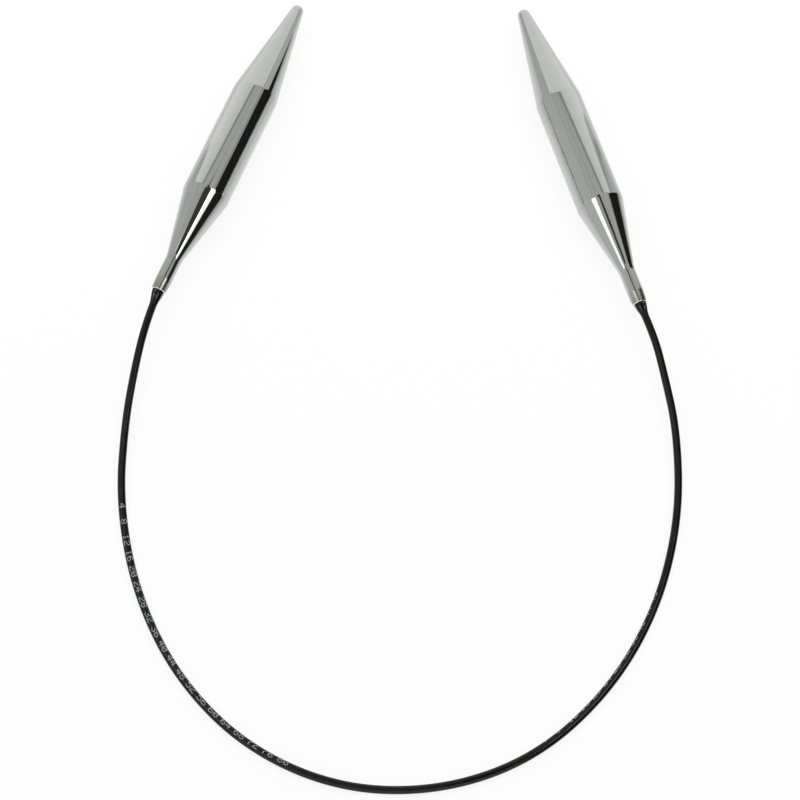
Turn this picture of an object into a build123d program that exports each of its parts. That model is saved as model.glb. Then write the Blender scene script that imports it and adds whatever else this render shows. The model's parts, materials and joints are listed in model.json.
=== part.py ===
"""Fixed circular knitting needle: two hollow metal needles joined by a thin nylon cord.

The needle lies flat, as on a table. +Z is up and the table is at Z = 0. Both needles point
towards +Y, and the cord makes an open loop on their -Y side. All sizes are in millimetres.

Each needle is one metal tube. Its front is swaged down to a closed, rounded point. Its back
is swaged down through a cone to a slim neck, and the mouth of the neck is crimped on the
cord. The end of the cord is spread over a barbed pin, so it flares at the mouth and can't
pull out of the crimp.
"""
import os
from math import asin, atan2, cos, degrees, hypot, pi, radians, sin, tan

from build123d import *

os.makedirs("parts", exist_ok=True)

# ---- Driving dimensions: needle ------------------------------------------------------------
BARREL_DIAMETER = 12.0        # the size that a needle is sold by
NEEDLE_LENGTH = 90.0          # mouth of the neck to the end of the point
NECK_LENGTH = 9.8             # mouth to the start of the tail cone
TAIL_CONE_LENGTH = 19.1
BARREL_LENGTH = 31.7
NECK_DIAMETER = 4.12
MOUTH_DIAMETER = 3.6          # outside of the crimped mouth
CRIMP_LENGTH = 3.2            # the neck closes from its own diameter to the mouth's over this
POINT_END_RADIUS = 1.65       # the rounded end of the point

BARREL_WALL = 0.8
NECK_WALL = 0.45
MOUTH_WALL = 0.38
POINT_SOLID_LENGTH = 5.5      # metal closed up behind the end of the point

SHOULDER_RADIUS = 4.5         # softening of the two shoulders of the barrel
NECK_BLEND_RADIUS = 12.0      # hollow blend from the neck to the tail cone
CRIMP_BLEND_RADIUS = 3.0
MOUTH_EDGE_BREAK = 0.1

# ---- Driving dimensions: cord --------------------------------------------------------------
CORD_DIAMETER = 1.9
FLARE_DIAMETER = 3.1          # the spread end of the cord where it meets the mouth
FLARE_LENGTH = 4.6            # from the mouth to the plain cord
STEM_LENGTH = 8.6             # of cord gripped inside the neck
FIT_CLEARANCE = 0.02          # between the cord's end and the metal inside and outside it

# ---- Driving dimensions: barbed pin --------------------------------------------------------
PIN_SHANK_DIAMETER = 1.2
PIN_NOSE_DIAMETER = 0.5
PIN_NOSE_LENGTH = 2.4         # taper that stands out of the mouth, inside the flare
PIN_HEAD_DIAMETER = 2.6
PIN_HEAD_LENGTH = 0.8
BARB_DIAMETER = 1.7
BARB_PITCH = 2.0
BARB_COUNT = 3

# ---- Driving dimensions: how the two needles lie -------------------------------------------
# The mouth of each neck, its heading away from +Y (positive leans to +X), and the angle at
# which the cord's flare leaves it, away from the line of the needle towards +X.
MOUTH_SPACING = 119.4
LEFT_MOUTH = (-MOUTH_SPACING / 2, -38.9)
LEFT_HEADING = 21.8
LEFT_FLARE_TURN = 5.5
RIGHT_MOUTH = (MOUTH_SPACING / 2, -42.4)
RIGHT_HEADING = -17.6
RIGHT_FLARE_TURN = 1.0

# The cord's route between its two flares, from left to right: X, Y, Z of each corner.
# It comes down from the height of the needles' axes and then lies on the table.
FIRST_RUN = 5.5               # straight out of each flare
CORD_REST_HEIGHT = CORD_DIAMETER / 2
ROUTE = [
    (-64.5, -58.8, 5.0),
    (-66.5, -72.8, 3.0),
    (-67.0, -92.8, 1.2),
    (-62.0, -115.3, CORD_REST_HEIGHT),
    (-51.5, -135.8, CORD_REST_HEIGHT),
    (-35.0, -152.3, CORD_REST_HEIGHT),
    (-13.5, -161.8, CORD_REST_HEIGHT),
    (9.5, -162.3, CORD_REST_HEIGHT),
    (31.0, -154.8, CORD_REST_HEIGHT),
    (48.5, -139.3, CORD_REST_HEIGHT),
    (60.5, -119.8, CORD_REST_HEIGHT),
    (67.0, -97.3, 1.2),
    (67.5, -75.3, 3.1),
    (64.5, -59.3, 5.2),
]
CORNER_SHARE = 0.45           # of the shorter run beside a corner, taken up by its arc

# ---- Worked out from the sizes above -------------------------------------------------------
AXIS_HEIGHT = BARREL_DIAMETER / 2
TAIL_SHOULDER = NECK_LENGTH + TAIL_CONE_LENGTH
FRONT_SHOULDER = TAIL_SHOULDER + BARREL_LENGTH
MOUTH_BORE_RADIUS = MOUTH_DIAMETER / 2 - MOUTH_WALL
NECK_BORE_RADIUS = NECK_DIAMETER / 2 - NECK_WALL


# Every piece of a needle is drawn as a half-section, (radius, distance from the mouth), and
# turned about the needle's axis, which is +Z here, with the mouth at Z = 0.

def turned(*curves):
    """Turn a closed half-section about the needle's axis."""
    edges = [edge for curve in curves for edge in curve.edges()]
    return revolve(Plane.XZ * make_face(edges), Axis.Z)


def rounded_point():
    """The arc of the point's end, from where the point's cone runs into it to the axis."""
    centre = NEEDLE_LENGTH - POINT_END_RADIUS
    to_centre = atan2(BARREL_DIAMETER / 2, centre - FRONT_SHOULDER)
    reach = hypot(BARREL_DIAMETER / 2, centre - FRONT_SHOULDER)
    taper = to_centre - asin(POINT_END_RADIUS / reach)
    start_angle = pi / 2 - taper

    def on_end(angle):
        return (POINT_END_RADIUS * sin(angle), centre + POINT_END_RADIUS * cos(angle))

    return ThreePointArc(on_end(start_angle), on_end(start_angle / 2), on_end(0))


def needle_outside():
    """The outer form: crimped mouth, neck, tail cone, barrel and point."""
    end_arc = rounded_point()
    side = FilletPolyline(
        (MOUTH_DIAMETER / 2, 0),
        (NECK_DIAMETER / 2, CRIMP_LENGTH),
        (NECK_DIAMETER / 2, NECK_LENGTH),
        (BARREL_DIAMETER / 2, TAIL_SHOULDER),
        (BARREL_DIAMETER / 2, FRONT_SHOULDER),
        end_arc @ 0,
        radius=[CRIMP_BLEND_RADIUS, NECK_BLEND_RADIUS, SHOULDER_RADIUS, SHOULDER_RADIUS],
    )
    base = Line((0, 0), side @ 0)
    axis = Line(end_arc @ 1, (0, 0))
    return turned(base, side, end_arc, axis)


def needle_cavity():
    """The space inside a needle: crimped bore, neck bore and the hollow of the barrel."""
    barrel_bore_radius = BARREL_DIAMETER / 2 - BARREL_WALL
    return turned(Polyline(
        (0, 0),
        (MOUTH_BORE_RADIUS, 0),
        (NECK_BORE_RADIUS, CRIMP_LENGTH),
        (NECK_BORE_RADIUS, NECK_LENGTH),
        (barrel_bore_radius, TAIL_SHOULDER),
        (barrel_bore_radius, FRONT_SHOULDER),
        (0, NEEDLE_LENGTH - POINT_SOLID_LENGTH),
        (0, 0),
    ))


def needle_shell():
    """One hollow needle, with the two edges of its mouth broken."""
    shell = needle_outside() - needle_cavity()
    mouth_edges = shell.edges().filter_by(GeomType.CIRCLE).group_by(Axis.Z)[0]
    return chamfer(mouth_edges, MOUTH_EDGE_BREAK)


def barbed_pin():
    """The pin that spreads the cord: nose in the flare, barbs in the neck, head behind."""
    shank_radius = PIN_SHANK_DIAMETER / 2
    corners = [(0, -PIN_NOSE_LENGTH), (PIN_NOSE_DIAMETER / 2, -PIN_NOSE_LENGTH), (shank_radius, 0)]
    for index in range(BARB_COUNT):
        barb_start = BARB_PITCH * (index + 0.5)
        barb_end = barb_start + BARB_PITCH / 2
        corners += [(shank_radius, barb_start), (BARB_DIAMETER / 2, barb_end), (shank_radius, barb_end)]
    corners += [
        (shank_radius, STEM_LENGTH),
        (PIN_HEAD_DIAMETER / 2, STEM_LENGTH),
        (PIN_HEAD_DIAMETER / 2, STEM_LENGTH + PIN_HEAD_LENGTH),
        (0, STEM_LENGTH + PIN_HEAD_LENGTH),
        corners[0],
    ]
    return turned(Polyline(*corners))


def pin_bore():
    """The space that the pin spreads open in the cord's end."""
    bore_radius = BARB_DIAMETER / 2 + FIT_CLEARANCE
    nose_radius = PIN_NOSE_DIAMETER / 2 + FIT_CLEARANCE
    return turned(Polyline(
        (0, -PIN_NOSE_LENGTH - FIT_CLEARANCE),
        (nose_radius, -PIN_NOSE_LENGTH - FIT_CLEARANCE),
        (bore_radius, 0),
        (bore_radius, STEM_LENGTH),
        (0, STEM_LENGTH),
        (0, -PIN_NOSE_LENGTH - FIT_CLEARANCE),
    ))


def flare_plane(turn):
    """The plane across the flare's thin end, facing the way in which the cord leaves."""
    way = Vector(sin(radians(turn)), 0, -cos(radians(turn)))
    return Plane(origin=way * FLARE_LENGTH, x_dir=(0, 1, 0), z_dir=way)


def cord_end(turn):
    """The spread end of the cord: a stem that fills the neck, and the flare outside it."""
    stem = turned(Polyline(
        (0, -FIT_CLEARANCE),
        (MOUTH_BORE_RADIUS - FIT_CLEARANCE, -FIT_CLEARANCE),
        (NECK_BORE_RADIUS - FIT_CLEARANCE, CRIMP_LENGTH),
        (NECK_BORE_RADIUS - FIT_CLEARANCE, STEM_LENGTH - FIT_CLEARANCE),
        (0, STEM_LENGTH - FIT_CLEARANCE),
        (0, -FIT_CLEARANCE),
    ))
    # The cone starts inside the neck, so that the plane of the mouth cuts it clean.
    taper = (FLARE_DIAMETER - CORD_DIAMETER) / 2 / FLARE_LENGTH
    inside = CRIMP_LENGTH / 2
    cone = Cone(
        FLARE_DIAMETER / 2 + taper * inside,
        CORD_DIAMETER / 2,
        FLARE_LENGTH + inside,
        align=(Align.CENTER, Align.CENTER, Align.MAX),
    )
    mouth_plane = Plane.XY.offset(-FIT_CLEARANCE)
    flare = split(flare_plane(turn).location * cone, bisect_by=mouth_plane, keep=Keep.BOTTOM)
    return stem + flare - pin_bore()


def needle_seat(mouth, heading):
    """Where a needle lies: local +Z runs along it, and local +X is on its right."""
    lean = radians(heading)
    return Plane(
        origin=(mouth[0], mouth[1], AXIS_HEIGHT),
        x_dir=(cos(lean), -sin(lean), 0),
        z_dir=(sin(lean), cos(lean), 0),
    )


def cord_exit(seat, turn):
    """The point and the direction in which the plain cord leaves a flare."""
    plane = Plane(seat.location * flare_plane(turn).location)
    return plane.origin, plane.z_dir


def corner_radii(points):
    """The largest arc that the two runs beside each corner allow."""
    radii = []
    for before, corner, after in zip(points, points[1:], points[2:]):
        run_in = corner - before
        run_out = after - corner
        half_turn = radians(run_in.get_angle(run_out)) / 2
        radii.append(CORNER_SHARE * min(run_in.length, run_out.length) / tan(half_turn))
    return radii


def cord(left_seat, right_seat):
    """The plain cord: a round section swept along straight runs and tangent arcs."""
    left_end, left_way = cord_exit(left_seat, LEFT_FLARE_TURN)
    right_end, right_way = cord_exit(right_seat, RIGHT_FLARE_TURN)
    points = [left_end, left_end + left_way * FIRST_RUN]
    points += [Vector(*corner) for corner in ROUTE]
    points += [right_end + right_way * FIRST_RUN, right_end]
    radii = corner_radii(points)
    path = FilletPolyline(*points, radius=radii)
    section = Plane(origin=left_end, z_dir=left_way) * Circle(CORD_DIAMETER / 2)
    tube = sweep(section, path=path)
    print("cord corner radii:", [round(radius, 1) for radius in radii])
    expected = pi * CORD_DIAMETER ** 2 / 4 * path.length
    print(f"cord length {path.length:.1f}, volume {tube.volume:.2f}, expected {expected:.2f}")
    print("route ends:", [[round(v, 2) for v in p] for p in (points[0], points[1], points[-2], points[-1])])
    return tube


left_seat = needle_seat(LEFT_MOUTH, LEFT_HEADING)
right_seat = needle_seat(RIGHT_MOUTH, RIGHT_HEADING)

nodes = {
    "left_needle_shell": left_seat.location * needle_shell(),
    "left_barbed_pin": left_seat.location * barbed_pin(),
    "left_cord_end": left_seat.location * cord_end(LEFT_FLARE_TURN),
    "cord": cord(left_seat, right_seat),
    "right_cord_end": right_seat.location * cord_end(RIGHT_FLARE_TURN),
    "right_barbed_pin": right_seat.location * barbed_pin(),
    "right_needle_shell": right_seat.location * needle_shell(),
}
for name, solid in nodes.items():
    export_step(solid, f"parts/{name}.step")
    print(f"{name}: {solid.volume:.1f} mm3")
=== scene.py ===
# %% [markdown]
# # A circular knitting needle
# Two hollow metal needles are joined by one thin nylon cord. The imported model is the skeleton:
# it holds each piece's real size and place, and the joints at which the cord bends. This
# notebook gives it its looks. The first cell loads it.

# %% Load the imported model
import json
from math import asin, atan2, cos, hypot, pi, radians, sin, tan

import bpy
import numpy as np
from mathutils import Matrix, Vector


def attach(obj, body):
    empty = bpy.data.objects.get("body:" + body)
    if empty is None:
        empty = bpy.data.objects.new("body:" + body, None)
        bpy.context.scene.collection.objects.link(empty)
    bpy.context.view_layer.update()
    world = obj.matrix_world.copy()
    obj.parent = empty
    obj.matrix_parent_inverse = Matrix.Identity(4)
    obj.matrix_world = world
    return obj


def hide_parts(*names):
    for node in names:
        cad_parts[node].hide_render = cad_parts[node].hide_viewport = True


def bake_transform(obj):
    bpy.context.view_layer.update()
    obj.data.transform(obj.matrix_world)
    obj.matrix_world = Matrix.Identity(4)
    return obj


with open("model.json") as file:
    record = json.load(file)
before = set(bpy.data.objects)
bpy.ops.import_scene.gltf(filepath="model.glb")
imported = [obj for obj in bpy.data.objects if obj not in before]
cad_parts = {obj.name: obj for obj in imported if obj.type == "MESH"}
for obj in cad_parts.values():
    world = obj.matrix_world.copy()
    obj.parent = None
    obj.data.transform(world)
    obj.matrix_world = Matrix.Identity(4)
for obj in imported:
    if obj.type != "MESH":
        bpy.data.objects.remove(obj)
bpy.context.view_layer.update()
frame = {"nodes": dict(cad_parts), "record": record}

MM = 0.001

# %% [markdown]
# ## The camera
# The needle lies on a table and the camera looks down on it from the cord's side, well above
# it, through a long lens, so the two needles look almost as they do from straight above. The
# camera comes first, because it settles which sides need the most care. It could also be aimed
# with a Track To constraint, but one turn about X is all that it needs.

# %% Place the camera
CAMERA_PLACE = (0.0003, -0.2596, 0.4569)
CAMERA_TILT = 23.0            # degrees away from straight down
CAMERA_LENS = 90.945          # millimetres
SENSOR_WIDTH = 36.0           # millimetres
NEAREST_SEEN = 0.01

bpy.ops.object.select_all(action="DESELECT")
bpy.ops.object.camera_add(location=CAMERA_PLACE, rotation=(radians(CAMERA_TILT), 0, 0))
camera = bpy.context.object
camera.name = "camera"
camera.data.lens = CAMERA_LENS
camera.data.sensor_width = SENSOR_WIDTH
camera.data.clip_start = NEAREST_SEEN
bpy.context.scene.camera = camera
bpy.context.scene.view_settings.view_transform = "Standard"
print("camera height above the table:", round(camera.location.z, 3))

# %% [markdown]
# ## Where each needle lies
# The model's two mounts are the straight barrels of the needles, so each gives the line that
# its needle is turned about. From that we make one matrix for each needle. In the needle's own
# frame +Z runs from the mouth to the point, +X is to the right of it and +Y is down. A needle
# can then be made once, upright at the world's origin, and laid in both places.

# %% Read the two needle seats from the model
MOUTH_TO_BARREL_MIDDLE = 44.75 * MM


def needle_seat(mount):
    """The matrix that lays a needle, made upright with its mouth at the origin, in its place."""
    along = Vector(mount["axis"]).normalized()
    down = Vector((0, 0, -1))
    right = down.cross(along)
    mouth = Vector(mount["pos_m"]) - along * MOUTH_TO_BARREL_MIDDLE
    turn = Matrix((right, down, along)).transposed().to_4x4()
    return Matrix.Translation(mouth) @ turn


mounts = {mount["name"]: mount for mount in frame["record"]["mounts"]}
left_seat = needle_seat(mounts["left_barrel"])
right_seat = needle_seat(mounts["right_barrel"])
for seat in (left_seat, right_seat):
    print("mouth:", [round(value, 4) for value in seat.translation])

# %% [markdown]
# ## The cord's route
# The cord is nylon that keeps the curve it was packed in. It leaves the necks at the height of
# the needles' axes, comes down within a few centimetres, and then lies on the table. Its line is
# a NURBS spline, which has no corners: the points below pull it into shape without lying on
# it. Blender turns a curve with no thickness into a plain chain of points, and all that follows
# the cord is built along that chain: the tube, and the print on it.

# %% Draw the route and read its line
CORD_ROUTE = [                # millimetres, from the left flare round to the right flare
    (-60.99, -43.32, 6.0),
    (-62.53, -48.59, 6.0),
    (-64.5, -58.8, 5.0),
    (-66.5, -72.8, 3.0),
    (-67.0, -92.8, 1.2),
    (-62.0, -115.3, 0.95),
    (-51.5, -135.8, 0.95),
    (-35.0, -152.3, 0.95),
    (-13.5, -161.8, 0.95),
    (9.5, -162.3, 0.95),
    (31.0, -154.8, 0.95),
    (48.5, -139.3, 0.95),
    (60.5, -119.8, 0.95),
    (67.0, -97.3, 1.2),
    (67.5, -75.3, 3.1),
    (64.5, -59.3, 5.2),
    (62.92, -51.97, 6.0),
    (61.17, -46.76, 6.0),
]
ROUTE_STEPS = 22              # steps of the chain for each point of the route


def put_in_scene(name, data):
    """An object for a mesh or a curve, at the origin."""
    piece = bpy.data.objects.new(name, data)
    bpy.context.collection.objects.link(piece)
    return piece


def spline_line(points, steps):
    """The chain of points along a NURBS spline that starts and ends at the given points."""
    curve = bpy.data.curves.new("route", "CURVE")
    curve.dimensions = "3D"
    spline = curve.splines.new("NURBS")
    spline.points.add(len(points) - 1)
    for slot, point in zip(spline.points, points):
        slot.co = (*(value * MM for value in point), 1.0)
    spline.order_u = 3
    spline.use_endpoint_u = True
    spline.resolution_u = steps
    holder = put_in_scene("route", curve)
    bpy.context.view_layer.update()
    evaluated = holder.evaluated_get(bpy.context.evaluated_depsgraph_get())
    chain = bpy.data.meshes.new_from_object(evaluated)
    line = np.array([vertex.co for vertex in chain.vertices])
    bpy.data.objects.remove(holder)
    bpy.data.curves.remove(curve)
    bpy.data.meshes.remove(chain)
    return line


def distances_along(line):
    """How far along the chain each of its points is."""
    steps = np.linalg.norm(np.diff(line, axis=0), axis=1)
    return np.concatenate([[0.0], np.cumsum(steps)])


cord_line = spline_line(CORD_ROUTE, ROUTE_STEPS)
cord_reach = distances_along(cord_line)

# %% [markdown]
# ## The cord as a tube
# A bevelled curve would give a tube too, but the cord bends at a joint, so it has to be a mesh,
# and its finish follows the surface, so it needs its own coordinates. We set a ring of corners
# square to the line at every point, with the first corner always on top, and join ring to ring.
# The same helpers will make the cord's two spread ends, so a ring may be any size and any place,
# and each of its corners may have its own radius.

# %% Draw a ring across a line
UP = Vector((0, 0, 1))


def ring_frame(way):
    """Two directions across a line: the one nearest to the top, and the one on its left."""
    high = (UP - way * UP.dot(way)).normalized()
    return high, high.cross(way).normalized()


def ring_of(centre, way, radii):
    """A ring of corners square to the way, starting on top. Each corner has its own radius."""
    high, left = ring_frame(way)
    angles = [2 * pi * k / len(radii) for k in range(len(radii))]
    return [
        centre + (high * cos(angle) + left * sin(angle)) * radius
        for angle, radius in zip(angles, radii)
    ]


print("a ring starts at:", ring_of(Vector((0, 0, 0)), Vector((0, 1, 0)), [1.0] * 4)[0])

# %% Join the rings to a closed tube
def tube_of_rings(name, rings, reaches):
    """A closed tube through the rings. Its UV map holds metres along it, and turns about it."""
    count = len(rings[0])
    faces = []
    spans = []
    for i in range(len(rings) - 1):
        here, there = i * count, (i + 1) * count
        for k in range(count):
            after = (k + 1) % count
            faces.append((here + k, there + k, there + after, here + after))
            spans.append((reaches[i], reaches[i + 1], k / count, (k + 1) / count))
    first_ring = range(count)
    last_ring = range((len(rings) - 1) * count, len(rings) * count)
    faces += [tuple(first_ring), tuple(reversed(last_ring))]
    mesh = bpy.data.meshes.new(name)
    mesh.from_pydata([corner for ring in rings for corner in ring], [], faces)
    uv = mesh.uv_layers.new(name="along_and_round")
    for face, (low, high, before, after) in zip(mesh.polygons, spans):
        places = ((low, before), (high, before), (high, after), (low, after))
        for loop, place in zip(face.loop_indices, places):
            uv.data[loop].uv = place
    return put_in_scene(name, mesh)


def select_only(piece):
    """Select the piece and nothing else, and make it the active one."""
    bpy.ops.object.select_all(action="DESELECT")
    piece.select_set(True)
    bpy.context.view_layer.objects.active = piece


def face_outwards(piece):
    """Turn all the faces of a closed piece outwards."""
    select_only(piece)
    bpy.ops.object.mode_set(mode="EDIT")
    bpy.ops.mesh.select_all(action="SELECT")
    bpy.ops.mesh.normals_make_consistent(inside=False)
    bpy.ops.object.mode_set(mode="OBJECT")


def smooth(piece, sharp_over):
    """Shade a piece smooth, except over edges sharper than the angle in degrees."""
    select_only(piece)
    bpy.ops.object.shade_smooth_by_angle(angle=radians(sharp_over))


print("tubes can be made")

# %% Make the cord
CORD_RADIUS = 0.95 * MM
CORD_SIDES = 48


def ways_along(line):
    """The direction of the chain at each of its points."""
    ways = np.gradient(line, axis=0)
    ways[0] = line[1] - line[0]
    ways[-1] = line[-1] - line[-2]
    return [Vector(way).normalized() for way in ways]


cord_ways = ways_along(cord_line)
cord_rings = [
    ring_of(Vector(point), way, [CORD_RADIUS] * CORD_SIDES)
    for point, way in zip(cord_line, cord_ways)
]
cord = tube_of_rings("nylon_cord", cord_rings, cord_reach)
smooth(cord, 60)
print("cord faces:", len(cord.data.polygons))

# %% [markdown]
# ## The cord's spread ends
# A barbed pin is pushed into each end of the cord, which spreads it, and the neck of the needle
# is then crimped over it. Outside the mouth the nylon tapers back to its own thickness, and the
# stretching leaves shallow flutes along it, with narrow ridges between them. The flutes could be
# drawn in the finish alone, but they catch the light at the outline too, so they are shaped:
# each corner of a ring gets its own radius. How much of a ridge a corner is goes into an
# attribute as well, because the ridges get painted highlights: pale patches in their colour.

# %% Follow the line of a flare
FLARE_LENGTH = 4.6 * MM
BEND_REACH = 1.2 * MM         # the line turns over this much either side of the mouth


def flare_point(seat, turn, s):
    """The point and the direction on a flare's line, s metres outside the mouth.

    The turn is how many degrees the cord leaves to one side of the needle's own line.
    """
    way_out = Vector((sin(radians(turn)), 0, -cos(radians(turn))))
    share = min(max((s + BEND_REACH) / (2 * BEND_REACH), 0), 1)
    if abs(s) < BEND_REACH:
        local = Vector((0, 0, BEND_REACH)) * (1 - share) ** 2 + way_out * BEND_REACH * share ** 2
    elif s < 0:
        local = Vector((0, 0, -s))
    else:
        local = way_out * s
    heading = Vector((0, 0, -1)).lerp(way_out, share).normalized()
    return seat @ local, (seat.to_3x3() @ heading).normalized()


print("a flare reaches:", flare_point(left_seat, 0.0, FLARE_LENGTH)[0])

# %% Shape its flutes
FLARE_RADIUS = 1.58 * MM
FLARE_SIDES = 144
TAPER_POWER = 1.15            # over 1, the flare narrows a little sooner than a plain S-curve
FLUTE_COUNT = 8
FLUTE_DEPTH = 0.19 * MM
FLUTE_START = 0.4 * MM        # the flutes reach their depth this far outside the mouth
FLUTE_FADE = 0.7              # under 1, they stay deep until the flare is nearly over
GROOVE_POWER = 0.6            # under 1, the grooves are wide and the ridges between them narrow
RIDGE_SHARE = 0.45            # the part of a groove's depth that still counts as its ridge


def fluted(s, taper_length, phase):
    """The radii of a flare's ring s metres outside the mouth, and how much of a ridge each is."""
    share = min(s / taper_length, 1)
    wideness = 1 - share * share * (3 - 2 * share)
    begun = min(s / FLUTE_START, 1)
    taper = CORD_RADIUS + (FLARE_RADIUS - CORD_RADIUS) * wideness ** TAPER_POWER
    depth = FLUTE_DEPTH * begun * wideness ** FLUTE_FADE
    radii = []
    ridges = []
    for k in range(FLARE_SIDES):
        angle = 2 * pi * k / FLARE_SIDES + phase
        wave = cos(FLUTE_COUNT * angle + 0.6 * sin(2 * angle))       # flutes of uneven width
        groove = (0.5 - 0.5 * wave) ** GROOVE_POWER
        uneven = 0.75 + 0.25 * cos(3 * angle + 1.0)                  # and of uneven depth
        radii.append(taper - depth * uneven * groove)
        ridges.append(max(0.0, 1 - groove / RIDGE_SHARE) * wideness * begun)
    return radii, ridges


widest = fluted(FLUTE_START, FLARE_LENGTH, 0.0)[0]
print(f"flare: {2000 * max(widest):.2f} mm across, {2000 * min(widest):.2f} mm in its grooves")

# %% [markdown]
# A spread end is one closed tube. It starts at the nose of the bore for the pin, comes back
# along that bore, turns round behind the pin's barbs and runs out along the outside to the plain
# cord. On the cord's route the left end is where it leaves and the right end where it arrives,
# so the rings of the right end face the other way: they have to match the cord's.

# %% Make the two spread ends
STEM_LENGTH = 8.58 * MM
STEM_RADIUS = 1.59 * MM
MOUTH_STEM_RADIUS = 1.40 * MM
CRIMP_LENGTH = 3.2 * MM
BORE_RADIUS = 0.87 * MM
NOSE_DEPTH = 2.42 * MM
NOSE_RADIUS = 0.27 * MM
MOUTH_STEP = 0.02 * MM        # the nylon steps out over this much either side of the mouth
STEP_DROP = 0.12 * MM         # where it is this much short of the flare's radius
LIP_LENGTH = 0.1 * MM         # and it has nearly rounded over to it here
LIP_DROP = 0.03 * MM
FLARE_STEPS = 26
LEFT_TURN = 5.5               # degrees
RIGHT_TURN = 1.0


def plain_ring(radius):
    """The radii of a round ring."""
    return [radius] * FLARE_SIDES


def cord_end(name, seat, turn, taper_length, phase, outward):
    """The spread end of the cord. Outward is False where the cord arrives."""
    stations = [
        (0.999 * NOSE_DEPTH, plain_ring(0.02 * NOSE_RADIUS)),
        (NOSE_DEPTH, plain_ring(NOSE_RADIUS)),
        (0.0, plain_ring(BORE_RADIUS)),
        (-STEM_LENGTH, plain_ring(BORE_RADIUS)),
        (-STEM_LENGTH, plain_ring(STEM_RADIUS)),
        (-CRIMP_LENGTH, plain_ring(STEM_RADIUS)),
        (-MOUTH_STEP, plain_ring(MOUTH_STEM_RADIUS)),
        (MOUTH_STEP, plain_ring(FLARE_RADIUS - STEP_DROP)),
        (LIP_LENGTH, plain_ring(FLARE_RADIUS - LIP_DROP)),
    ]
    ridges = [plain_ring(0.0) for station in stations]
    for i in range(1, FLARE_STEPS + 1):
        s = LIP_LENGTH + (FLARE_LENGTH - LIP_LENGTH) * i / FLARE_STEPS
        radii, ridges_here = fluted(s, taper_length, phase)
        stations.append((s, radii))
        ridges.append(ridges_here)
    rings = []
    for s, radii in stations:
        centre, way = flare_point(seat, turn, s)
        rings.append(ring_of(centre, way if outward else -way, radii))
    tops = np.array([ring[0] for ring in rings])
    reaches = distances_along(tops)
    last_inside = max(i for i, (s, radii) in enumerate(stations) if s < 0)
    piece = tube_of_rings(name, rings, reaches - reaches[last_inside])
    ridge = piece.data.attributes.new("ridge", "FLOAT", "POINT")
    ridge.data.foreach_set("value", [value for row in ridges for value in row])
    face_outwards(piece)
    smooth(piece, 50)
    return piece


left_end = cord_end("left_spread_end", left_seat, LEFT_TURN, 4.5 * MM, 0.3, True)
right_end = cord_end("right_spread_end", right_seat, RIGHT_TURN, 3.8 * MM, 1.1, False)
left_thin_end = flare_point(left_seat, LEFT_TURN, FLARE_LENGTH)[0]
right_thin_end = flare_point(right_seat, RIGHT_TURN, FLARE_LENGTH)[0]
print("spread end faces:", len(left_end.data.polygons))
print("gap to the cord, left:", (left_thin_end - Vector(cord_line[0])).length)
print("gap to the cord, right:", (right_thin_end - Vector(cord_line[-1])).length)

# %% [markdown]
# ## The needles
# Each needle starts as a piece of metal tube, which is swaged down to a neck at the back and
# closed to a point at the front, and then ground, polished and plated. It could be turned with
# Spin from a half-section, but here it is drawn as the swaging does it: one ring of 160 corners
# is extruded along the needle and widened or narrowed at each station, first down the inside
# wall to the mouth and then back along the outside to the point.

# %% Set the needle's sizes
NEEDLE_SIDES = 160
NEEDLE_LENGTH = 90.0 * MM
NECK_END = 9.8 * MM
TAIL_SHOULDER = 28.9 * MM
FRONT_SHOULDER = 60.6 * MM
BARREL_RADIUS = 6.0 * MM
NECK_RADIUS = 2.06 * MM
MOUTH_RADIUS = 1.8 * MM
POINT_RADIUS = 1.65 * MM
POINT_STEPS = 12
CAVITY_END = 84.5 * MM
CAVITY_TIP = 1.0 * MM         # the cavity closes over this length, from a ring of this radius
CAVITY_TIP_RADIUS = 0.4 * MM
BARREL_WALL = 0.8 * MM
NECK_WALL = 0.45 * MM
MOUTH_WALL = 0.38 * MM


def point_rings(steps):
    """The rings of the rounded end, from where the point's cone meets it to near its tip."""
    centre = NEEDLE_LENGTH - POINT_RADIUS
    reach = hypot(BARREL_RADIUS, centre - FRONT_SHOULDER)
    taper = atan2(BARREL_RADIUS, centre - FRONT_SHOULDER) - asin(POINT_RADIUS / reach)
    start = pi / 2 - taper
    angles = [start * (1 - i / steps) for i in range(steps)]
    return [(POINT_RADIUS * sin(a), centre + POINT_RADIUS * cos(a)) for a in angles], taper


tip_rings, point_taper = point_rings(POINT_STEPS)
inside = [                    # radius, height above the mouth
    (CAVITY_TIP_RADIUS, CAVITY_END - CAVITY_TIP),
    (BARREL_RADIUS - BARREL_WALL, FRONT_SHOULDER),
    (BARREL_RADIUS - BARREL_WALL, TAIL_SHOULDER),
    (NECK_RADIUS - NECK_WALL, NECK_END),
    (NECK_RADIUS - NECK_WALL, CRIMP_LENGTH),
    (MOUTH_RADIUS - MOUTH_WALL, 0),
]
outside = [
    (MOUTH_RADIUS, 0),
    (NECK_RADIUS, CRIMP_LENGTH),
    (NECK_RADIUS, NECK_END),
    (BARREL_RADIUS, TAIL_SHOULDER),
    (BARREL_RADIUS, FRONT_SHOULDER),
]
print(f"the point's cone slopes by {point_taper * 180 / pi:.1f} degrees")

# %% Draw one needle upright at the origin, ring by ring
SLACK = 0.01 * MM


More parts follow.
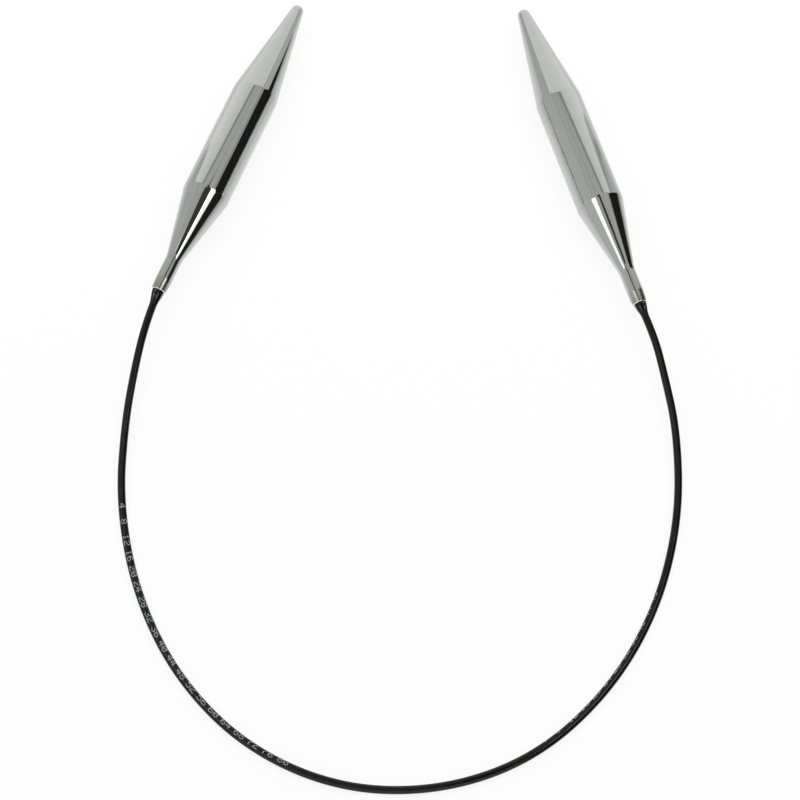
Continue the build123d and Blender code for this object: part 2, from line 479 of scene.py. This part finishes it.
def select_ring(piece, height, radius):
    """Select the ring of edges of a piece in edit mode at that height and radius, and no other."""
    bpy.ops.object.mode_set(mode="OBJECT")
    mesh = piece.data
    chosen = [
        abs(corner.co.z - height) < SLACK and abs(hypot(corner.co.x, corner.co.y) - radius) < SLACK
        for corner in mesh.vertices
    ]
    for corner, wanted in zip(mesh.vertices, chosen):
        corner.select = wanted
    for edge in mesh.edges:
        edge.select = chosen[edge.vertices[0]] and chosen[edge.vertices[1]]
    for face in mesh.polygons:
        face.select = False
    bpy.ops.object.mode_set(mode="EDIT")
    return sum(chosen)


def extrude_up(height):
    """Extrude what is selected along the needle."""
    bpy.ops.mesh.extrude_region_move(TRANSFORM_OT_translate={"value": (0, 0, height)})


stations = inside + outside + tip_rings
first_radius, first_height = stations[0]
bpy.ops.object.select_all(action="DESELECT")
bpy.ops.mesh.primitive_circle_add(vertices=NEEDLE_SIDES, radius=first_radius, fill_type="NOTHING")
needle = bpy.context.object
needle.name = "needle"
bpy.ops.object.mode_set(mode="EDIT")
bpy.ops.mesh.select_all(action="SELECT")
bpy.ops.transform.translate(value=(0, 0, first_height))
for (radius, height), (next_radius, next_height) in zip(stations, stations[1:]):
    extrude_up(next_height - height)
    widen = next_radius / radius
    bpy.ops.transform.resize(value=(widen, widen, 1), center_override=(0, 0, 0))
extrude_up(NEEDLE_LENGTH - stations[-1][1])
bpy.ops.mesh.merge(type="CENTER")
select_ring(needle, first_height, first_radius)
extrude_up(CAVITY_TIP)
bpy.ops.mesh.merge(type="CENTER")
print("rings joined:", len(stations))

# %% [markdown]
# The shoulders are bevelled next, each with its own radius: crisp at the back of the barrel,
# softer at the front. A bevel of width w on a corner that turns by an angle a is an arc of
# radius w / tan(a / 2), so each width is worked out from the radius that the swaging die has.
# Weighted normals then keep the reflections straight on the long cones and bend them only at the
# shoulders.

# %% Round its shoulders, neck and mouth
tail_taper = atan2(BARREL_RADIUS - NECK_RADIUS, TAIL_SHOULDER - NECK_END)
crimp_taper = atan2(NECK_RADIUS - MOUTH_RADIUS, CRIMP_LENGTH)
BLENDS = [                    # ring height, ring radius, turn, radius of the arc, segments
    (FRONT_SHOULDER, BARREL_RADIUS, point_taper, 5.0 * MM, 8),
    (TAIL_SHOULDER, BARREL_RADIUS, tail_taper, 3.0 * MM, 8),
    (NECK_END, NECK_RADIUS, tail_taper, 9.0 * MM, 10),
    (CRIMP_LENGTH, NECK_RADIUS, crimp_taper, 4.0 * MM, 6),
]
RIM_BREAKS = [                # ring radius, width of the broken edge
    (MOUTH_RADIUS, 0.2 * MM),
    (MOUTH_RADIUS - MOUTH_WALL, 0.1 * MM),
]
RIM_SEGMENTS = 5

for height, radius, corner_turn, arc_radius, segments in BLENDS:
    found = select_ring(needle, height, radius)
    width = arc_radius * tan(corner_turn / 2)
    bpy.ops.mesh.bevel(offset=width, segments=segments, affect="EDGES", clamp_overlap=False)
    print(f"ring at {height * 1000:.1f} mm: {found} corners, bevel {width * 1000:.2f} mm")
for radius, width in RIM_BREAKS:
    select_ring(needle, 0, radius)
    bpy.ops.mesh.bevel(offset=width, segments=RIM_SEGMENTS, affect="EDGES", clamp_overlap=False)
bpy.ops.object.mode_set(mode="OBJECT")
face_outwards(needle)
smooth(needle, 80)
bpy.ops.object.modifier_add(type="WEIGHTED_NORMAL")
needle.modifiers[-1].weight = 100
bpy.ops.object.modifier_apply(modifier=needle.modifiers[-1].name)
print("needle faces:", len(needle.data.polygons))

# %% [markdown]
# The finish runs along and round the needle, so it has to know where on the needle it is. Each
# corner keeps its upright place as an attribute, in millimetres, and then a copy of the mesh is
# laid in each seat. The objects themselves stay at the origin.

# %% Lay the two needles in their seats
upright = np.array([corner.co * 1000 for corner in needle.data.vertices], np.float32)
place = needle.data.attributes.new("needle_place", "FLOAT_VECTOR", "POINT")
place.data.foreach_set("vector", upright.ravel())


def lay_copy(model, name, seat):
    """A copy of the piece with its own mesh, laid in the seat."""
    mesh = model.data.copy()
    mesh.transform(seat)
    return put_in_scene(name, mesh)


left_needle = lay_copy(needle, "left_polished_needle", left_seat)
right_needle = lay_copy(needle, "right_polished_needle", right_seat)
bpy.data.objects.remove(needle)
print("needles laid:", left_needle.name, right_needle.name)

# %% [markdown]
# ## The print on the cord
# The real cord carries its print in ink dots. Words and sizes are left off a shared part, so
# this one has plain numbers instead: two scales that count millimetres from their start, in
# fours. The digits are drawn on a grid of five by seven dots, as an ink-jet coder draws them.
# One dot is modelled and copied to every place. The cord has a little twist in it, so the long
# scale starts on top and runs round to the inner side. The short one lies low on the inner side.

# %% Draw the digits
DIGITS = {
    "0": ("01110", "10001", "10011", "10101", "11001", "10001", "01110"),
    "1": ("00100", "01100", "00100", "00100", "00100", "00100", "01110"),
    "2": ("01110", "10001", "00001", "00110", "01000", "10000", "11111"),
    "3": ("01110", "10001", "00001", "00110", "00001", "10001", "01110"),
    "4": ("00010", "00110", "01010", "10010", "11111", "00010", "00010"),
    "5": ("11111", "10000", "11110", "00001", "00001", "10001", "01110"),
    "6": ("01110", "10000", "10000", "11110", "10001", "10001", "01110"),
    "7": ("11111", "00001", "00010", "00100", "01000", "01000", "01000"),
    "8": ("01110", "10001", "10001", "01110", "10001", "10001", "01110"),
    "9": ("01110", "10001", "10001", "01111", "00001", "00001", "01110"),
}
MIDDLE_ROW = 3
ROW_PITCH = 0.225 * MM
COLUMN_PITCH = 0.25 * MM
DIGIT_PITCH = 1.5 * MM


def digit_dots(text, start):
    """The places of the dots of a number: how far along the cord, and how far up the digit."""
    for index, digit in enumerate(text):
        for row, line in enumerate(DIGITS[digit]):
            for column, mark in enumerate(line):
                if mark == "1":
                    along = start + index * DIGIT_PITCH + column * COLUMN_PITCH
                    yield along, (MIDDLE_ROW - row) * ROW_PITCH


print("dots in a 4:", len(list(digit_dots("4", 0.0))))

# %% Print the numbers
DOT_RADIUS = 0.13 * MM
DOT_SIDES = 10
INK_THICKNESS = 0.012 * MM
MARK_MILLIMETRES = 4
SCALE_STEP = MARK_MILLIMETRES * MM
SCALES = [                    # start, number of marks, degrees from the top there, degrees a metre
    (51.0 * MM, 20, 5.0, 386.0),
    (191.0 * MM, 12, 80.0, -40.0),
]


def on_cord(s, roll, height):
    """The point above the cord's surface s metres along it, rolled from the top inwards."""
    centre = Vector([np.interp(s, cord_reach, cord_line[:, axis]) for axis in range(3)])
    near = int(np.searchsorted(cord_reach, s))
    high, inner = ring_frame(cord_ways[near])
    return centre + (high * cos(roll) + inner * sin(roll)) * (CORD_RADIUS + height)


bpy.ops.object.select_all(action="DESELECT")
bpy.ops.mesh.primitive_cylinder_add(
    vertices=DOT_SIDES, radius=DOT_RADIUS, depth=2 * INK_THICKNESS
)
dot = bpy.context.object
dot_corners = [corner.co.copy() for corner in dot.data.vertices]
dot_faces = [tuple(face.vertices) for face in dot.data.polygons]
bpy.data.objects.remove(dot)

ink_corners = []
ink_faces = []
for scale_start, marks, first_roll, roll_per_metre in SCALES:
    for mark in range(1, marks + 1):
        start = scale_start + (mark - 1) * SCALE_STEP
        for s, up in digit_dots(str(mark * MARK_MILLIMETRES), start):
            roll = radians(first_roll + roll_per_metre * (s - scale_start)) + up / CORD_RADIUS
            first = len(ink_corners)
            for corner in dot_corners:
                turned = roll + corner.y / CORD_RADIUS
                ink_corners.append(on_cord(s + corner.x, turned, corner.z))
            ink_faces += [tuple(first + index for index in face) for face in dot_faces]
ink_mesh = bpy.data.meshes.new("cord_numbers")
ink_mesh.from_pydata(ink_corners, [], ink_faces)
ink_mesh.update()
cord_numbers = put_in_scene("cord_numbers", ink_mesh)
print("ink dots:", len(ink_faces) // len(dot_faces))

# %% [markdown]
# ## A small language for finishes
# A finish is a tree of nodes. Written out one by one, its sums are hard to read, so a small
# class wraps a socket and lets Python's own signs add the Math nodes. Every other node comes from
# one method that takes its type, its settings, and then what goes into its sockets.

# %% Define the wrapper
class Value:
    """A value that varies over a surface: an output socket, with Python's signs for its sums."""

    def __init__(self, finish, socket):
        self.finish = finish
        self.socket = socket

    def math(self, operation, *others):
        sockets = dict(enumerate((self, *others)))
        return self.finish.node("ShaderNodeMath", {"operation": operation}, sockets)

    def reflected(self, operation, other):
        return self.finish.node("ShaderNodeMath", {"operation": operation}, {0: other, 1: self})

    def __add__(self, other):
        return self.math("ADD", other)

    def __radd__(self, other):
        return self.reflected("ADD", other)

    def __sub__(self, other):
        return self.math("SUBTRACT", other)

    def __rsub__(self, other):
        return self.reflected("SUBTRACT", other)

    def __mul__(self, other):
        return self.math("MULTIPLY", other)

    def __rmul__(self, other):
        return self.reflected("MULTIPLY", other)


print("values can be added, subtracted and multiplied")

# %% Define a finish
class Finish:
    """A new node tree, for a material or the world."""

    def __init__(self, owner):
        owner.use_nodes = True
        self.owner = owner
        self.tree = owner.node_tree
        self.tree.nodes.clear()

    def node(self, kind, settings=None, sockets=None, output=0):
        """Add a node and give back one of its outputs, by its number or its name."""
        added = self.tree.nodes.new(kind)
        for name, setting in (settings or {}).items():
            setattr(added, name, setting)
        for name, value in (sockets or {}).items():
            if isinstance(value, Value):
                self.tree.links.new(value.socket, added.inputs[name])
            elif value is not None:
                added.inputs[name].default_value = value
        return Value(self, added.outputs[output]) if len(added.outputs) else None

    def vectors(self, operation, first, second, output=0):
        """Vector Math. Output 1 is for an operation that gives one number."""
        sockets = {0: first, 1: second}
        return self.node("ShaderNodeVectorMath", {"operation": operation}, sockets, output)

    def stretched(self, vector, scales):
        """The same coordinates, scaled differently along each axis."""
        return self.vectors("MULTIPLY", vector, scales)

    def part(self, vector, axis):
        """One of the three numbers of a vector."""
        return self.node("ShaderNodeSeparateXYZ", {}, {0: vector}, axis)

    def noise(self, vector, scale, detail=2.0, roughness=0.5):
        """Cloudy values about 0.5, the finer the larger the scale."""
        sockets = {"Vector": vector, "Scale": scale, "Detail": detail, "Roughness": roughness}
        return self.node("ShaderNodeTexNoise", {}, sockets)

    def ramp(self, value, low, high, start=0.0, end=1.0):
        """A value turned smoothly from start to end as it goes from low to high."""
        sockets = {
            "Value": value, "From Min": low, "From Max": high, "To Min": start, "To Max": end
        }
        return self.node("ShaderNodeMapRange", {"interpolation_type": "SMOOTHSTEP"}, sockets)

    def mix(self, share, colour, other):
        """A colour that goes over to the other as the share goes from 0 to 1."""
        first = (*colour, 1) if isinstance(colour, tuple) else colour
        sockets = {0: share, 6: first, 7: (*other, 1)}
        return self.node("ShaderNodeMix", {"data_type": "RGBA"}, sockets, 2)

    def bump(self, height, distance, before=None):
        """A normal for a surface whose height varies by up to the distance, in metres."""
        sockets = {"Strength": 1.0, "Distance": distance, "Height": height, "Normal": before}
        return self.node("ShaderNodeBump", {}, sockets)

    def surface(self, **sockets):
        """Finish the tree with the one shader that gives its surface."""
        named = {name.replace("_", " "): value for name, value in sockets.items()}
        shader = self.node("ShaderNodeBsdfPrincipled", {}, named)
        self.node("ShaderNodeOutputMaterial", {}, {"Surface": shader})


def paint(piece, material):
    """Give a piece one material, in place of any that it had."""
    piece.data.materials.clear()
    piece.data.materials.append(material)


print("finishes are ready to be mixed")

# %% [markdown]
# ## Polished plate
# The needles are nickel plated and buffed to a mirror, so nearly all that we see on them is the
# room. What keeps a mirror from looking computed is small: the tube was drawn and swaged
# lengthwise, which leaves very shallow waves along it, buffing leaves a faint haze that comes
# and goes, and the crimp at the mouth is pressed after plating, so it is rougher, warmer and
# darker there. The plate is darker still towards the mouth, and a painted highlight in the
# colour makes a thin bright line round the rim.

# %% Mix the polished plate
PLATE = (0.555, 0.568, 0.548)
HAZY_PLATE = (0.575, 0.583, 0.562)
PRESSED_PLATE = (0.48, 0.455, 0.405)
# the plate's colour where it is darker towards the mouth
MOUTH_DARKENING_TONE = (0.34, 0.32, 0.28)
# the colour of a painted highlight: a thin bright line round the rim
RIM_PAINTED_HIGHLIGHT = (0.93, 0.90, 0.83)

plate = Finish(bpy.data.materials.new("polished_nickel_plate"))
on_needle = plate.node("ShaderNodeAttribute", {"attribute_name": "needle_place"}, {}, 1)
up_needle = plate.part(on_needle, 2)          # millimetres above the mouth
drawn = plate.noise(plate.stretched(on_needle, (1.0, 1.0, 0.02)), 1.6, 3.0)
fine_drawn = plate.noise(plate.stretched(on_needle, (1.0, 1.0, 0.03)), 9.0, 2.0)
buffed = plate.noise(plate.stretched(on_needle, (0.15, 0.15, 6.0)), 3.0, 4.0, 0.6)
haze = plate.noise(on_needle, 0.12, 3.0)
crimped = plate.ramp(up_needle, 2.0, 4.4, 1.0, 0.0)
# The plate is darker towards the mouth.
mouth_darkening = plate.ramp(up_needle, 0.5, 2.4, 0.6, 0.0)
# A painted highlight: the rim's colour is made bright in a thin line.
rim = plate.ramp(up_needle, 0.1, 0.22, 1.0, 0.0)
neck = plate.ramp(up_needle, 9.0, 12.0, 1.0, 0.0)

plate_tone = plate.mix(plate.ramp(haze, 0.35, 0.65), PLATE, HAZY_PLATE)
plate_tone = plate.mix(crimped * 0.85, plate_tone, PRESSED_PLATE)
plate_tone = plate.mix(mouth_darkening, plate_tone, MOUTH_DARKENING_TONE)
plate_tone = plate.mix(rim, plate_tone, RIM_PAINTED_HIGHLIGHT)
hazy_roughness = 0.03 + 0.035 * plate.ramp(haze, 0.4, 0.75) + 0.02 * buffed
waves = plate.bump(drawn, 0.004 * MM)
waves = plate.bump(fine_drawn * (0.25 + 2.0 * neck), 0.0015 * MM, waves)
plate.surface(
    Base_Color=plate_tone,
    Metallic=1.0,
    Roughness=hazy_roughness + 0.17 * crimped + 0.03 * neck,
    Normal=waves,
)
for needle_piece in (left_needle, right_needle):
    paint(needle_piece, plate.owner)
print("nodes in the plate:", len(plate.tree.nodes))

# %% [markdown]
# ## Black nylon
# The cord is extruded, so the die leaves fine lines along it and none across. It is black all
# through, with a satin sheen that breaks up where it has been handled. Its UV map runs in metres
# along the cord and in turns about it. One turn is about 6 mm, so the two are brought to the
# same scale before any pattern reads them, and the pattern about the cord is laid on a circle,
# so that it has no seam. On the spread ends, pale patches of colour on the ridges between the
# flutes are painted highlights.

# %% Mix the nylon of the cord
NYLON = (0.002, 0.002, 0.0018)
HANDLED_NYLON = (0.0042, 0.0042, 0.0038)
# the colour of painted highlights on the ridges of the spread ends
RIDGE_HIGHLIGHT_NYLON = (0.20, 0.20, 0.205)


def round_the_cord(finish):
    """Coordinates in millimetres on the cord's surface, which close on themselves about it."""
    place = finish.node("ShaderNodeUVMap", {"uv_map": "along_and_round"}, {})
    angle = finish.part(place, 1) * (2 * pi)
    radius = CORD_RADIUS * 1000
    sockets = {
        0: angle.math("COSINE") * radius,
        1: angle.math("SINE") * radius,
        2: finish.part(place, 0) * 1000,
    }
    return finish.node("ShaderNodeCombineXYZ", {}, sockets)


def mix_nylon(name, line_depth, stretched=False):
    """Black nylon with lines along it. The stretched kind has painted highlights on its ridges."""
    nylon = Finish(bpy.data.materials.new(name))
    on_nylon = round_the_cord(nylon)
    die_lines = nylon.noise(nylon.stretched(on_nylon, (1.0, 1.0, 0.01)), 5.0, 3.0, 0.6)
    handled = nylon.noise(on_nylon, 0.35, 3.0)
    grain = nylon.noise(on_nylon, 14.0, 2.0)
    tone = nylon.mix(nylon.ramp(handled, 0.35, 0.7), NYLON, HANDLED_NYLON)
    if stretched:
        # Painted highlights: pale patches of colour on the ridges of the flutes.
        ridge = nylon.node("ShaderNodeAttribute", {"attribute_name": "ridge"}, {}, 2)
        patchy = nylon.ramp(nylon.noise(on_nylon, 1.3, 2.0), 0.38, 0.56)
        tone = nylon.mix(nylon.ramp(ridge, 0.1, 0.7) * patchy, tone, RIDGE_HIGHLIGHT_NYLON)
    relief = nylon.bump(die_lines, line_depth)
    relief = nylon.bump(grain, 0.002 * MM, relief)
    nylon.surface(
        Base_Color=tone,
        Roughness=0.07 + 0.06 * nylon.ramp(handled, 0.3, 0.7) + 0.05 * die_lines,
        Specular_IOR_Level=0.34,
        Normal=relief,
    )
    return nylon.owner


cord_nylon = mix_nylon("black_nylon", 0.012 * MM)
end_nylon = mix_nylon("black_nylon_with_painted_ridge_highlights", 0.03 * MM, stretched=True)
paint(cord, cord_nylon)
paint(left_end, end_nylon)
paint(right_end, end_nylon)
print("nylon mixed")

# %% [markdown]
# ## Ink and brass
# The ink is a pale blue-grey that sits thin on the black, so it is a little patchy. The barbed
# pins are turned from brass and left as they come off the lathe, with rings round them. They are
# hidden in the finished needle, but the part can be taken apart, so they are finished too.

# %% Mix the ink
THIN_INK = (0.16, 0.18, 0.19)
FULL_INK = (0.35, 0.38, 0.40)

ink = Finish(bpy.data.materials.new("pale_ink"))
on_ink = ink.node("ShaderNodeTexCoord", {}, {}, "Object")
patches = ink.noise(on_ink, 2600.0, 3.0, 0.6)          # patches of about 0.4 mm
ink.surface(
    Base_Color=ink.mix(ink.ramp(patches, 0.3, 0.65), THIN_INK, FULL_INK),
    Roughness=0.5 + 0.2 * patches,
    Normal=ink.bump(patches, 0.004 * MM),
)
paint(cord_numbers, ink.owner)
print("ink mixed")

# %% Mix the brass
BRASS = (0.72, 0.56, 0.28)
STAINED_BRASS = (0.55, 0.40, 0.20)


def mix_brass(name, seat):
    """Turned brass: fine rings about the axis of the needle that the pin sits in."""
    brass = Finish(bpy.data.materials.new(name))
    seen = brass.node("ShaderNodeTexCoord", {}, {}, "Object")
    sockets = {
        "Vector": brass.vectors("SUBTRACT", seen, seat.translation),
        "Rotation": seat.inverted().to_3x3().to_euler(),
        "Scale": (1000, 1000, 1000),
    }
    upright = brass.node("ShaderNodeMapping", {}, sockets)
    rings = brass.noise(brass.stretched(upright, (0.1, 0.1, 1.0)), 12.0, 2.0)
    stain = brass.noise(upright, 0.6, 3.0)
    brass.surface(
        Base_Color=brass.mix(brass.ramp(stain, 0.4, 0.7), BRASS, STAINED_BRASS),
        Metallic=1.0,
        Roughness=0.22 + 0.2 * stain,
        Normal=brass.bump(rings, 0.006 * MM),
    )
    return brass.owner


for pin_name, seat in (("left_barbed_pin", left_seat), ("right_barbed_pin", right_seat)):
    pin = frame["nodes"][pin_name]
    for material_slot in pin.material_slots:
        material_slot.material = mix_brass(f"{pin_name}_brass", seat)
    print(pin_name, "slots:", len(pin.material_slots))

# %% [markdown]
# ## The studio
# A polished needle shows its surroundings more than itself, so the studio is part of its looks.
# It is a small tent over a white table: a grey ceiling with darker seams and edges, a bright
# back wall, and grey walls on the left and the right. Two lamps hang over the front: they are
# the bright lines on the tails of the needles, and a tube in the right one shines along the
# cord. Beyond them the ceiling is high, and a dark slot in it draws the dark lines beside the
# bright ones. A black flag on the right draws the stripe down the left needle and the band on
# the tail of the right one, and a small dark arm over the middle draws a thin line along each
# neck. The walls could be painted on the world instead, but real walls give each needle its own
# view of them, as it has in a room. The camera doesn't see them.

# %% Make a wall
WALL_LIGHT = (0.995, 1.0, 0.985, 1)


def card(name, corner, across, up, tone, end_tone=None, lights=True):
    """A flat wall from one corner, with two sides as vectors. Its tone may change across it.

    A wall that lights nothing is seen only in the polish, and neither gives light nor stops it.
    """
    start, side, rise = Vector(corner), Vector(across), Vector(up)
    mesh = bpy.data.meshes.new(name)
    mesh.from_pydata([start, start + side, start + side + rise, start + rise], [], [(0, 1, 2, 3)])
    wall = put_in_scene(name, mesh)
    wall.visible_camera = False
    wall.visible_diffuse = wall.visible_shadow = lights
    cover = Finish(bpy.data.materials.new(name))
    strength = tone
    if end_tone is not None:
        seen = cover.node("ShaderNodeTexCoord", {}, {}, "Object")
        offset = cover.vectors("SUBTRACT", seen, start)
        share = cover.vectors("DOT_PRODUCT", offset, side / side.length_squared, 1)
        strength = tone + share * (end_tone - tone)
    sockets = {"Color": WALL_LIGHT, "Strength": strength}
    glow = cover.node("ShaderNodeEmission", {}, sockets)
    cover.node("ShaderNodeOutputMaterial", {}, {"Surface": glow})
    paint(wall, cover.owner)


print("walls can be made")

# %% Build the tent
CEILING = 0.58
SEAM = CEILING - 0.004        # a seam hangs just under the ceiling
FRONT_CEILING = 0.95
SLOT = FRONT_CEILING - 0.001
SEAM_TONE = 0.42
RIGHT_TONE = 0.585
LAMP_TONE = 1.74

card("ceiling", (-0.45, 0.01, CEILING), (1.11, 0, 0), (0, 0.29, 0), 0.55)
card("left_seam", (-0.163, 0.01, SEAM), (0.026, 0, 0), (0, 0.29, 0), SEAM_TONE)
card("right_seam", (0.155, 0.01, SEAM), (0.026, 0, 0), (0, 0.29, 0), SEAM_TONE)
card("ceiling_edge", (-0.45, 0.30, CEILING), (1.11, 0, 0), (0, 0.05, 0), 0.36)
card("ceiling_left_edge", (-0.45, 0.01, SEAM), (0.03, 0, 0), (0, 0.34, 0), SEAM_TONE)
card("ceiling_right_edge", (0.43, 0.01, SEAM), (0.23, 0, 0), (0, 0.34, 0), SEAM_TONE)
card("back_wall", (-0.372, 0.35, 0.0), (0, 0, CEILING), (0.758, 0, 0), 1.03, 0.77)
card("back_wall_left_end", (-0.45, 0.352, 0.0), (0.078, 0, 0), (0, 0, CEILING), 0.54)
card("back_wall_right_end", (0.386, 0.352, 0.0), (0.022, 0, 0), (0, 0, CEILING), 0.57)
card("corner_seam", (0.408, 0.352, 0.0), (0.012, 0, 0), (0, 0, CEILING), 0.36)
card("left_wall", (-0.45, 0.35, 0.0), (0, -0.85, 0), (0, 0, CEILING), 0.56, 0.70)
card("right_corner", (0.42, 0.352, 0.0), (0.24, -0.06, 0), (0, 0, CEILING), RIGHT_TONE)
card("right_wall", (0.66, 0.30, 0.0), (0, -0.80, 0), (0, 0, CEILING), RIGHT_TONE)
card("front_ceiling", (-0.70, 0.06, FRONT_CEILING), (1.30, 0, 0), (0, -0.90, 0), 0.50)
card("camera_slot", (-0.125, 0.06, SLOT), (0.70, 0, 0), (0.42, -0.90, 0), 0.055)
card("right_lamp", (0.208, 0.008, 0.54), (0.432, 0, 0), (0, -0.33, 0), LAMP_TONE, 1.45)
card("left_lamp", (-0.352, 0.008, 0.43), (0.226, 0, 0), (0, -0.26, 0), LAMP_TONE)
card("right_lamp_tube", (0.234, -0.03, 0.538), (0.046, 0, 0), (0, -0.28, 0), 5.6)
card("black_flag", (0.30, 0.163, 0.0), (0, -0.67, 0), (0, 0, 0.305), 0.016, lights=False)
card("camera_arm", (-0.014, -0.01, 0.24), (0.050, 0, 0), (0, 0.085, 0), 0.035, lights=False)
print("the tent stands")

# %% [markdown]
# The table is a plain white sheet with a slight gloss. To the camera it is mostly a steady white
# of strength 1, with a share of its real shading left in, so that the soft shadows under the
# needles and the cord stay. In the polish of a needle it is a pale grey, with a painted pool of
# light along each needle, and seen at a low angle it mirrors the walls, as a smooth sheet does.

# %% Lay the table
TABLE_SIZE = 6.0
FLOOR_STEADY = 0.86           # the share of steady white that the camera sees
FAR_TONE = 0.77               # the table's tone in the polish
# painted light: the table is made lighter in the polish along each needle
NEAR_PAINTED_LIGHT = 0.22              # and how much lighter it is under a needle
NEAR_REACH = 0.042
TABLE_IOR = 1.35


def near_needle(finish, place, seat):
    """A mask on the table: 1 along the line of a needle, and 0 from the reach outwards."""
    turn = atan2(seat[1][2], seat[0][2])
    beside = finish.vectors("SUBTRACT", place, seat.translation)
    off_axis = finish.vectors("DOT_PRODUCT", beside, (sin(turn), -cos(turn), 0), 1)
    return finish.ramp(off_axis.math("ABSOLUTE"), 0.0, NEAR_REACH, 1.0, 0.0)


def ray_kind(finish, name):
    """1 for the rays of that kind, and 0 for the others."""
    return finish.node("ShaderNodeLightPath", {}, {}, name)


bpy.ops.object.select_all(action="DESELECT")
bpy.ops.mesh.primitive_plane_add(size=TABLE_SIZE)
table = bpy.context.object
table.name = "table"

cover = Finish(bpy.data.materials.new("white_table"))
by_camera = ray_kind(cover, "Is Camera Ray")
by_gloss = ray_kind(cover, "Is Glossy Ray")
by_glass = ray_kind(cover, "Is Transmission Ray")
seen = cover.node("ShaderNodeTexCoord", {}, {}, "Object")
# A painted pool of light along each needle, seen only in the polish.
near = near_needle(cover, seen, left_seat) + near_needle(cover, seen, right_seat)
level = by_camera + (1 - by_camera) * (FAR_TONE + NEAR_PAINTED_LIGHT * near)
steady = cover.node("ShaderNodeEmission", {}, {"Color": (1, 1, 1, 1), "Strength": level})
polish = {"Color": (1, 1, 1, 1), "Roughness": 0.05}
mirror = cover.node("ShaderNodeBsdfAnisotropic", {}, polish)
sheen = cover.node("ShaderNodeFresnel", {}, {"IOR": TABLE_IOR}) * by_gloss
lit = cover.node("ShaderNodeMixShader", {}, {0: sheen, 1: steady, 2: mirror})
matt = cover.node("ShaderNodeBsdfDiffuse", {}, {"Color": (0.9, 0.9, 0.9, 1)})
share = by_camera * FLOOR_STEADY + by_gloss + by_glass * FLOOR_STEADY
both = cover.node("ShaderNodeMixShader", {}, {0: share, 1: matt, 2: lit})
cover.node("ShaderNodeOutputMaterial", {}, {"Surface": both})
paint(table, cover.owner)
print("nodes in the table:", len(cover.tree.nodes))

# %% Light the room
ROOM_LIGHT = 0.55
TOP_LIGHT_PLACE = (0.0, 0.15, 0.55)
TOP_LIGHT_SIZE = (0.8, 0.3)
TOP_LIGHT_POWER = 1.9

room = Finish(bpy.context.scene.world or bpy.data.worlds.new("room"))
bpy.context.scene.world = room.owner
open_view = ray_kind(room, "Is Camera Ray") + ray_kind(room, "Is Glossy Ray")
open_view = open_view + ray_kind(room, "Is Transmission Ray")
light = room.node("ShaderNodeBackground", {}, {"Color": (1, 1, 1, 1), "Strength": ROOM_LIGHT})
white = room.node("ShaderNodeBackground", {}, {"Color": (1, 1, 1, 1), "Strength": 1.0})
seen_or_light = room.node("ShaderNodeMixShader", {}, {0: open_view, 1: light, 2: white})
room.node("ShaderNodeOutputWorld", {}, {"Surface": seen_or_light})

bpy.ops.object.select_all(action="DESELECT")
bpy.ops.object.light_add(type="AREA", location=TOP_LIGHT_PLACE)
soft_top = bpy.context.object
soft_top.name = "soft_top_light"
soft_top.data.shape = "RECTANGLE"
soft_top.data.size, soft_top.data.size_y = TOP_LIGHT_SIZE
soft_top.data.energy = TOP_LIGHT_POWER
soft_top.visible_camera = False
soft_top.visible_glossy = False
print("table, room and top light are set")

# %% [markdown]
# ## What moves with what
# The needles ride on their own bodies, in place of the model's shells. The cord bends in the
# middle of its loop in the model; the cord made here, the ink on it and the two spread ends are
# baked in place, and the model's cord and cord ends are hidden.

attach(left_needle, "left_needle")
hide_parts("left_needle_shell")
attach(right_needle, "right_needle")
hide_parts("right_needle_shell")

for piece in (cord, cord_numbers):
    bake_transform(piece)
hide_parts("cord")
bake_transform(left_end)
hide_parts("left_cord_end")
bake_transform(right_end)
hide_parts("right_cord_end")

2 * CORD_RADIUS
print("pieces are fixed")
